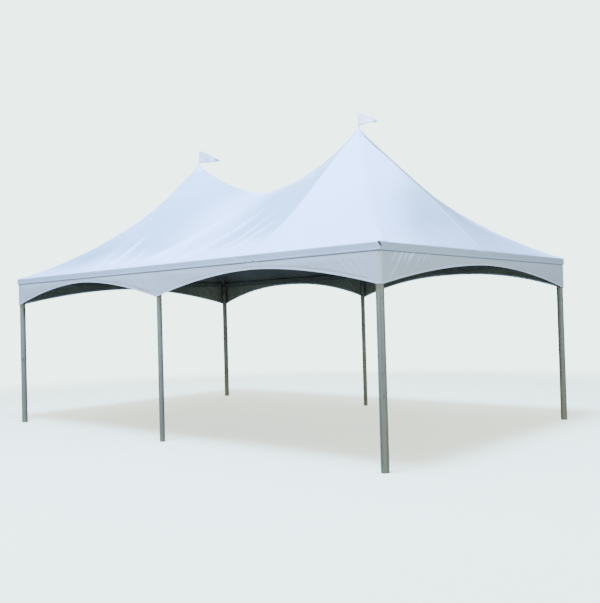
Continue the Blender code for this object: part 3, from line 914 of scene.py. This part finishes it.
def roof_painted_shade(x, y, fallen):
    """How far painted shade lies on the roof cloth at plan points, from 0 to 1.

    The painted shade darkens from the valley to the seams of the peaks and ends sharply there,
    clears towards the long eaves, on the crests of folds and beside the near corner, and is
    weaker at the left. The clearing at the eaves is painted light, and on the crests and beside
    the corner it gives painted highlights. What the front has, the back has mirrored through the
    middle of the tent. Fallen is how far a point hangs below the eave, where no shade is painted.
    """
    # Painted highlights: no shade on the crests of the pull folds, nor on a spot beside the puff.
    crests = pull_folds(x, y)[1]
    painted_highlight = puff_bell(x, y, PAINTED_HIGHLIGHT_HALF_WIDTH)
    x, y = np.where(y > 0, -x, x), -np.abs(y)
    between = np.abs(x) < PEAK_X
    painted_panel_shade = smoothstep(np.abs(x), 0.15, 1.05) * between
    painted_panel_shade *= 1 - 0.80 * smoothstep(-y, 1.75, 2.25)
    painted_panel_shade *= np.where(x > 0, 0.85, 0.66)
    for (middle_x, middle_y), (reach_x, reach_y), strength in PAINTED_SHADE_PATCHES:
        off = ((x - middle_x) / reach_x) ** 2 + ((y - middle_y) / reach_y) ** 2
        near = between == (abs(middle_x) < PEAK_X)
        painted_panel_shade = np.maximum(painted_panel_shade, strength * near * np.exp(-off))
    # Painted shade over the whole roof, clearing towards the long eaves as painted light.
    slow = 0.24 * (1 - smoothstep(-y, 1.4, 2.4) * np.where(between, 1.0, 0.5))
    shade = 1 - (1 - slow) * (1 - painted_panel_shade)
    return shade * (1 - 0.9 * crests) * (1 - painted_highlight) * (fallen < PAINTED_SHADE_END)


def roof_dusk(x, y, fallen):
    """How far the short sides' cloth is in painted shade at plan points, from 0 to 1.

    The painted shade darkens the cloth beyond the hips in the middle of the side, and most in a
    strip beyond the side's seam, which is wider further down and reaches over the seam as a thin
    line at the peak.
    """
    out = share_between(np.abs(x), PEAK_X, EDGE_X)
    beyond = np.sign(x) * (y - short_seam(x)) + PAINTED_SIDE_SHADE_LINE * (1 - smoothstep(out, 0.14, 0.30))
    reach = np.where(x > 0, 0.35 + 1.4 * out, 0.06)
    strip = smoothstep(beyond, -0.004, 0.010) * (1 - smoothstep(beyond, 0.4 * reach, reach))
    strip *= (1.0 - 0.50 * smoothstep(out, 0.35, 1.0)) * smoothstep(out, 0.0, 0.01)
    side = out - np.abs(y) / EDGE_Y
    face = 0.62 * smoothstep(side, 0.10, 0.46) * smoothstep(out, 0.30, 0.62)
    face *= 1 - 0.35 * smoothstep(out, 0.75, 0.95)
    return np.maximum(strip, face) * (fallen < PAINTED_SHADE_END)


def make_canopy():
    """The roof as one continuous sheet: four quarters of roof and band, welded where they meet.

    Its cloth map is the plan, and the band goes on outwards there by how far it has fallen.
    """
    quarters = []
    uvs = []
    slits = []
    for mirror in ((1, 1), (1, -1), (-1, 1), (-1, -1)):
        roof = roof_quarter(mirror)
        band, slit, outward = band_quarter(mirror)
        quarter = np.concatenate([roof, band[1:]])
        fallen = np.clip(EAVE_Z - quarter[..., 2], 0.0, None)
        quarters.append(quarter)
        uvs.append(quarter[..., :2] + outward * fallen[..., None])
        slits.append(np.concatenate([np.zeros(roof.shape[:2]), slit[1:]]))
    points = np.stack(quarters)
    x, y, z = np.moveaxis(points, -1, 0)
    # The roof's painted shade values, stored on its points.
    mesh = make_mesh("roof_canopy", points, np.stack(uvs), shade=roof_painted_shade(x, y, EAVE_Z - z),
                     dusk=roof_dusk(x, y, EAVE_Z - z), slit=np.stack(slits))
    weld(mesh, distance=0.00005, towards=(0, 0, 1))
    canopy = add_piece("canopy", mesh, [ROOF_CLOTH, ROOF_PAINTED_SHADE_LINING], 60, CLOTH)
    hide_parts("roof_canopy")
    return canopy


# Welded tapes over the seams that run down from each peak
TAPE_HALF_WIDTH = 0.014
TAPE_CHAMFER = 0.0012
TAPE_THICKNESS = 0.0011
TAPE_COLUMNS = 150
TAPE_MARGIN = 0.004
LONG_TAPE_START = HOLE_RADIUS + 0.045
SHORT_TAPE_START = 0.62

# Collars round the peaks: each runs from the roof up over its cap's rim
CAP_RISE = 0.081
COLLAR_WIDTH = 0.055
COLLAR_THICKNESS = 0.0012
COLLAR_GAP = 0.0016
COLLAR_LAP = 0.0025
COLLAR_SINK = 0.0015
COLLAR_SHARES = np.array([[0.0], [0.10], [0.35], [0.62], [0.86], [1.0]])
COLLAR_COLUMNS = 120
COLLAR_PLEATS = 22
PLEAT_HEIGHT = 0.0010


def make_seam_tape(name, start, end):
    """A flat tape along a straight line in plan, carried over the roof.

    Its section is a thin rectangle with chamfered upper edges, set a little into the cloth.
    """
    run = np.array(end) - start
    length = np.hypot(*run)
    side = np.array([-run[1], run[0]]) / length
    half = TAPE_HALF_WIDTH
    top = half - TAPE_CHAMFER
    across = np.array([-half, -half, -top, 0.0, top, half, half, 0.0, -half])[:, None]
    lift = TAPE_THICKNESS * np.array([-0.8, 0.5, 1.0, 1.0, 1.0, 0.5, -0.8, -0.8, -0.8])[:, None]
    way = np.linspace(0.0, 1.0, TAPE_COLUMNS)
    line = way[:, None] * run + start
    slope = np.gradient(roof_skin(line), way * length)
    plan = line + across[..., None] * side
    height = roof_skin(plan) + lift * np.sqrt(1 + slope ** 2)
    mesh = make_mesh(name, raised(plan, height), paired(way * length, across))
    weld(mesh, fill_ends=True)
    return add_piece(name, mesh, [SEAM_CLOTH], 35)


def make_collar(name, cap_node):
    """A pleated cone of cloth from the roof's surface round the peak up over the cap's rim.

    The pleats are a sine round the cone, fading to nothing at its foot and its rim.
    """
    low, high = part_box(cap_node)
    peak_x = (low.x + high.x) / 2
    rim = (high.x - low.x) / 2 + COLLAR_GAP
    rim_z = high.z - CAP_RISE + COLLAR_LAP
    foot = rim + COLLAR_WIDTH
    turn = spread(0.0, 2 * math.pi, COLLAR_COLUMNS)
    pleat = PLEAT_HEIGHT * np.sin(COLLAR_PLEATS * turn) * np.sin(math.pi * COLLAR_SHARES) ** 0.7
    radius = foot + (rim - foot) * COLLAR_SHARES + pleat
    foot_z = roof_height(peak_x + foot * np.cos(turn), foot * np.sin(turn)) - COLLAR_SINK
    height = foot_z + (rim_z - foot_z) * COLLAR_SHARES
    points = raised(paired(peak_x + radius * np.cos(turn), radius * np.sin(turn)), height)
    mesh = make_mesh(name, points, paired(turn * foot, height), closed=True)
    weld(mesh)
    return add_piece(name, mesh, [PAINTED_SHADE_COLLAR_CLOTH], 70, COLLAR_THICKNESS)


def make_roof_trim():
    """All tapes and collars of the roof."""
    reach = EDGE_Y - FOLD - TAPE_MARGIN
    trim = []
    for side, sign in (("left", -1.0), ("right", 1.0)):
        peak = sign * PEAK_X
        start = sign * (PEAK_X + SHORT_TAPE_START)
        end = sign * (EDGE_X - FOLD - TAPE_MARGIN)
        for name, first, last in (
                ("front", (peak, -LONG_TAPE_START), (peak, -reach)),
                ("back", (peak, LONG_TAPE_START), (peak, reach)),
                ("end", (start, short_seam(start)), (end, short_seam(end)))):
            trim.append(make_seam_tape(f"seam_{name}_{side}", first, last))
        trim.append(make_collar(f"peak_collar_{side}", f"peak_cap_{side}"))
    return trim


# Each valance: side, kind, mirroring of x and y, fold strengths, phase of its waves, height of
# its crown, power of its arch
VALANCES = (
    ("front_right", "long", (1, 1), (0.05, 0.05), 0.7, 2.360, 1.8),
    ("front_left", "long", (-1, 1), (0.06, 0.05), 2.1, 2.390, 1.8),
    ("back_right", "long", (1, -1), (0.18, 0.35), 3.4, 2.402, 2.2),
    ("back_left", "long", (-1, -1), (0.18, 0.35), 4.9, 2.425, 2.2),
    ("right", "short", (1, 1), (0.75, 0.35), 1.3, 2.360, 1.8),
    ("left", "short", (-1, 1), (0.4, 0.55), 5.2, 2.390, 1.8),
)

# Folds of a valance near a leg: start and end as (way from the leg, height), half width, height
TIP_FOLDS = (
    ((0.145, 2.310), (0.300, 2.490), 0.012, 0.0150),
    ((0.130, 2.150), (0.420, 2.490), 0.015, 0.0260),
    ((0.210, 2.130), (0.520, 2.490), 0.013, 0.0220),
    ((0.310, 2.150), (0.650, 2.495), 0.016, 0.0270),
    ((0.430, 2.200), (0.640, 2.410), 0.013, 0.0170),
    ((0.540, 2.200), (0.860, 2.490), 0.016, 0.0120),
    ((0.760, 2.300), (0.950, 2.490), 0.013, 0.0150),
    ((0.850, 2.320), (1.000, 2.470), 0.013, 0.0120),
)

# Corners, grid and hem of a valance
CORNER_RADIUS = 0.050
CORNER_LOWERED = 0.0205
MIDDLE_GAP = 0.0006
RUN_COLUMNS = 320
TURN_COLUMNS = 14
VALANCE_ROWS = 36
HEM_HEIGHT = 0.022
HEM_THICKNESS = 0.0030
HEM_CORNERS = 3


def tip_folds(way, z, strength):
    """Diagonal pull folds that run up and away from a leg, and flatten under the band."""
    relief = np.zeros_like(z)
    for start, end, half_width, height in TIP_FOLDS:
        along, across = beside_line(way, z, start, end)
        fade = smoothstep(along, -0.12, 0.2) * smoothstep(1 - along, -0.02, 0.25)
        relief += strength * height * fade * np.exp(-((across / half_width) ** 2))
    return relief * (0.25 + 0.75 * smoothstep(VALANCE_TOP - z, 0.0, 0.055))


def valance_path(kind):
    """A valance's outer face in plan: its places, outward normals, and way s from -1 to 1.

    A long side's runs from the middle post to the corner, and a short side's from the front's
    corner to the back's. At a corner each turns through half a right angle on an arc.
    """
    ease = eased(RUN_COLUMNS, 0.55)
    corner_x = VALANCE_X - CORNER_RADIUS
    corner_y = VALANCE_Y - CORNER_RADIUS
    if kind == "long":
        run = MIDDLE_GAP + (corner_x - MIDDLE_GAP) * ease
        turn = np.linspace(0.0, math.pi / 4, TURN_COLUMNS + 1)[1:]
        normal = arc(np.concatenate([np.zeros_like(run), turn]))
        centre = paired(np.concatenate([run, np.full_like(turn, corner_x)]), -corner_y)
    else:
        run = corner_y * (2 * ease - 1)
        turn = spread(math.pi / 4, math.pi / 2, TURN_COLUMNS)
        half_turned = np.full_like(run, math.pi / 2)
        normal = arc(np.concatenate([turn, half_turned, math.pi - turn[::-1]]))
        bend = np.full_like(turn, corner_y)
        centre = paired(corner_x, np.concatenate([-bend, run, bend]))
    place = centre + CORNER_RADIUS * normal
    s = place[:, 0] / POST_X * 2 - 1 if kind == "long" else place[:, 1] / POST_Y
    return place, normal, np.clip(s, -1, 1)


def valance_relief(s, z, half_length, strengths, phase):
    """Outward relief of a valance: pull folds at its two ends, a slow billow and small waves."""
    way_first = (s + 1) * half_length
    way_second = (1 - s) * half_length
    relief = tip_folds(way_first, z, strengths[0]) + tip_folds(way_second, z, strengths[1])
    free = smoothstep(VALANCE_TOP - z, 0.015, 0.10)
    ends = smoothstep(way_first, 0.02, 0.25) * smoothstep(way_second, 0.02, 0.25)
    wave = np.sin(7.3 * s + phase) * np.sin(3.1 * s + 11 * z + 2 * phase)
    ripple = np.sin(29 * s + 5 * np.sin(3 * s + phase) + 9 * z)
    return relief + free * ends * (0.0035 + 0.0030 * wave + 0.0009 * ripple)


def make_valance(side, kind, mirror, strengths, phase, crown, power):
    """One arched sheet with its hem, made at the front or right side and mirrored into place.

    Its lower edge falls from the crown to the tips as a power of the way s, and its rows lie
    closer together towards that edge.
    """
    name = f"valance_sheet_{side}"
    place, normal, s = valance_path(kind)
    half_length = POST_X / 2 if kind == "long" else POST_Y
    share = np.linspace(0.0, 1.0, VALANCE_ROWS)[:, None]
    bottom = crown - (crown - VALANCE_TIP) * np.abs(s) ** power
    turned = np.min(np.abs(normal), axis=1) > 0.001
    top = VALANCE_TOP - CORNER_LOWERED * turned
    z = top + (bottom - top) * (share + 0.35 * share * (1 - share))
    out = valance_relief(s, z, half_length, strengths, phase)
    out *= smoothstep(z - bottom, HEM_HEIGHT, HEM_HEIGHT + 0.03)
    points = raised((place + normal * out[..., None]) * mirror, z)
    along = way_along(place)
    mesh = make_mesh(name, points, paired(along, z))
    weld(mesh, towards=(*(normal[len(normal) // 2] * mirror), 0.0))
    sheet = add_piece(name, mesh, [PAINTED_SHADE_VALANCE_CLOTH, VALANCE_PAINTED_SHADE_LINING], 60, CLOTH)
    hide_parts(f"valance_{side}")

    hem = make_hem(f"{name}_hem", place, normal, out[-1], bottom, along, mirror)


def make_hem(name, place, normal, out, bottom, along, mirror):
    """A hem round a valance's lower edge: a flat loop of cloth carried along the arch.

    The loop's section is a tall rectangle with a half round foot; it follows the edge's slope.
    """
    slope = np.gradient(bottom, along)
    length = np.sqrt(1 + slope ** 2)
    tangent = np.gradient(place, along, axis=0)
    foot = np.linspace(math.pi / 2, -math.pi / 2, 2 * HEM_CORNERS + 1)
    half = HEM_THICKNESS / 2
    across = np.concatenate([half * np.sin(foot), [-half, -half, half, half, half]])[:, None]
    sides = HEM_HEIGHT * np.array([0.5, 1.0, 1.0, 0.5, 0.0])
    upward = np.concatenate([-half * np.cos(foot), sides])[:, None]
    offset = out - CLOTH / 2 + across
    plan = place + normal * offset[..., None] - tangent * (upward * slope / length)[..., None]
    points = raised(plan * mirror, bottom + upward / length)
    mesh = make_mesh(name, points, paired(along, upward))
    weld(mesh, fill_ends=True)
    return add_piece(name, mesh, [HEM_CLOTH], 50)


# Grid of a pennant, way from the pole's axis to its cloth, and the cloth's thickness
PENNANT_COLUMNS = 44
PENNANT_ROWS = 26
PENNANT_ROOT = 0.0085
PENNANT_THICKNESS = 0.0010


def make_pennant(side, phase, material, rise, tip_rise, droop):
    """A waving triangle of cloth: its waves are sines that grow from the pole to the tip.

    Rise lifts the upper end of its root and tip_rise its tip over the CAD's lower edge. The
    droop lowers the lower edge towards the tip, where the cloth is darkened as painted shade,
    and painted shade also runs along the lower edge.
    """
    name = f"pennant_sheet_{side}"
    low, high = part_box(f"pennant_{side}")
    pole = middle(f"flagpole_{side}").xy
    fly = high.xy - pole
    reach = fly.length
    direction = np.array(fly.normalized())
    normal = np.array([-direction[1], direction[0]])
    u = np.linspace(0.0, 1.0, PENNANT_COLUMNS)
    v = np.linspace(0.0, 1.0, PENNANT_ROWS)[:, None]
    way = PENNANT_ROOT + (reach - PENNANT_ROOT) * u
    root_top = high.z + rise
    bow = np.sin(math.pi * u)
    top = root_top + (low.z + tip_rise - root_top) * u + 0.012 * bow
    level = low.z + 0.010 * bow - droop * bow ** 2 * u
    bottom = level + tip_rise * u ** (1 if tip_rise < 0 else 5)
    top = np.maximum(top, bottom + 0.010) * (1 - u ** 12) + bottom * u ** 12
    z = bottom + (top - bottom) * v
    wave = 0.020 * u ** 0.8 * np.sin(8.5 * u + 1.4 * v + phase) + 0.006 * u * np.sin(19 * u - 3 * v)
    plan = way[:, None] * direction + wave[..., None] * normal + pole
    # Painted shade along the lower edge, and at the drooping tip.
    hem = 1 - smoothstep(z - bottom, 0.006, 0.020)
    shade = np.maximum(0.9 * hem, smoothstep(u, 0.66, 0.86) * (droop > 0.005))
    mesh = make_mesh(name, raised(plan, z), paired(way, z), shade=shade)
    weld(mesh, towards=(*-normal, 0.0))
    cloth = add_piece(name, mesh, [material], 70, PENNANT_THICKNESS)
    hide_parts(f"pennant_{side}")


# Camera of the photograph, in the frame's axes
CAMERA_PLACE = (8.78598, -9.31370, 1.74493)
CAMERA_RIGHT = (0.74848, 0.66258, -0.02768)
CAMERA_UP = (0.03389, 0.00347, 0.99942)
CAMERA_BACK = (0.66230, -0.74898, -0.01986)
CAMERA_LENS = 45.265


def make_camera():
    """The camera, turned by its three axes."""
    data = bpy.data.cameras.new("photo_camera")
    data.sensor_width = 36.0
    data.lens = CAMERA_LENS
    data.clip_end = 200.0
    camera = add_object("photo_camera", data)
    turn = Matrix((CAMERA_RIGHT, CAMERA_UP, CAMERA_BACK)).transposed().to_4x4()
    camera.matrix_world = Matrix.Translation(CAMERA_PLACE) @ turn
    bpy.context.scene.camera = camera


# The studio: colours and strengths of what the camera sees and of what lights the tent
BACKDROP = (3.49, 4.70, 4.23)
FILL = (0.36, 0.37, 0.36)
FLOOR_GLOW = (1.10, 1.19, 1.15)
FLOOR_PALE = (0.78, 0.86, 0.50)
FLOOR_DULL = (0.20, 0.21, 0.20)
FLOOR_SIZE = 160.0
FLOOR_FADE = (8.0, 13.0)
SKY_TINT = (0.66, 1.02, 2.20)
FILL_TINT = (1.00, 1.02, 0.98)
SIDE_TINT = (0.95, 1.04, 1.12)

# Lights: name, place, the point it looks at, size, power, tint
LIGHTS = (
    ("overhead", (-0.5, -1.0, 13.0), (0.0, 0.0, 3.0), 12.0, 1300.0, SKY_TINT),
    ("key", (2.6, -5.6, 18.0), (0.3, 0.0, 3.0), 5.0, 7800.0, SKY_TINT),
    ("front", (0.5, -16.0, 4.2), (-0.5, -2.0, 2.2), 6.0, 1750.0, FILL_TINT),
    ("side", (16.0, -3.0, 3.6), (3.0, -0.2, 2.2), 5.0, 1450.0, SIDE_TINT),
    ("behind", (-9.0, 11.0, 10.0), (0.0, 1.0, 2.5), 6.0, 900.0, FILL_TINT),
)


def coloured(tree, kind, colour):
    """A shader of one colour."""
    return add_node(tree, kind, {"Color": (*colour, 1.0)}).outputs[0]


def seen_by_camera(tree, to_camera, to_others):
    """One shader for what the camera sees and another for what lights the object."""
    seen = add_node(tree, "ShaderNodeLightPath").outputs["Is Camera Ray"]
    return add_node(tree, "ShaderNodeMixShader", {0: seen, 1: to_others, 2: to_camera}).outputs[0]


def make_floor():
    """Pale floor that turns into the backdrop's colour with distance."""
    half = FLOOR_SIZE / 2
    corners = [(-half, -half, 0), (half, -half, 0), (half, half, 0), (-half, half, 0)]
    mesh = bpy.data.meshes.new("floor")
    mesh.from_pydata(corners, [], [(0, 1, 2, 3)])
    floor = add_object("floor", mesh)
    material = bpy.data.materials.new("studio_floor")
    material.use_nodes = True
    tree = material.node_tree
    tree.nodes.clear()
    place = add_node(tree, "ShaderNodeTexCoord").outputs["Object"]
    way = add_node(tree, "ShaderNodeVectorMath", {0: place}, operation="LENGTH").outputs["Value"]
    pale = coloured(tree, "ShaderNodeBsdfDiffuse", FLOOR_PALE)
    glow = coloured(tree, "ShaderNodeEmission", FLOOR_GLOW)
    near = add_node(tree, "ShaderNodeAddShader", {0: pale, 1: glow}).outputs[0]
    far = coloured(tree, "ShaderNodeEmission", BACKDROP)
    share = map_range(tree, way, *FLOOR_FADE)
    shown = add_node(tree, "ShaderNodeMixShader", {0: share, 1: near, 2: far}).outputs[0]
    dull = coloured(tree, "ShaderNodeBsdfDiffuse", FLOOR_DULL)
    add_node(tree, "ShaderNodeOutputMaterial", {"Surface": seen_by_camera(tree, shown, dull)})
    mesh.materials.append(material)


def make_world():
    """The backdrop that the camera sees, and an even light from all round."""
    world = bpy.data.worlds.new("studio")
    world.use_nodes = True
    tree = world.node_tree
    tree.nodes.clear()
    backdrop = coloured(tree, "ShaderNodeBackground", BACKDROP)
    fill = coloured(tree, "ShaderNodeBackground", FILL)
    add_node(tree, "ShaderNodeOutputWorld", {"Surface": seen_by_camera(tree, backdrop, fill)})
    bpy.context.scene.world = world


def add_light(name, place, target, size, power, tint):
    """A square soft light that looks at a point."""
    data = bpy.data.lights.new(name, "AREA")
    data.size = size
    data.energy = power
    data.color = tint
    light = add_object(name, data)
    light.location = place
    light.rotation_mode = "QUATERNION"
    light.rotation_quaternion = (Vector(target) - Vector(place)).to_track_quat("-Z", "Y")
    light.visible_camera = False


make_camera()
make_floor()
make_world()
for light in LIGHTS:
    add_light(*light)
finish_frame()
canopy = make_canopy()
make_roof_trim()
for valance in VALANCES:
    make_valance(*valance)
make_pennant("left", 0.4, PAINTED_SHADE_PENNANT_CLOTH, 0.020, 0.034, 0.016)
make_pennant("right", 1.9, PENNANT_CLOTH, -0.008, -0.012, 0.0)
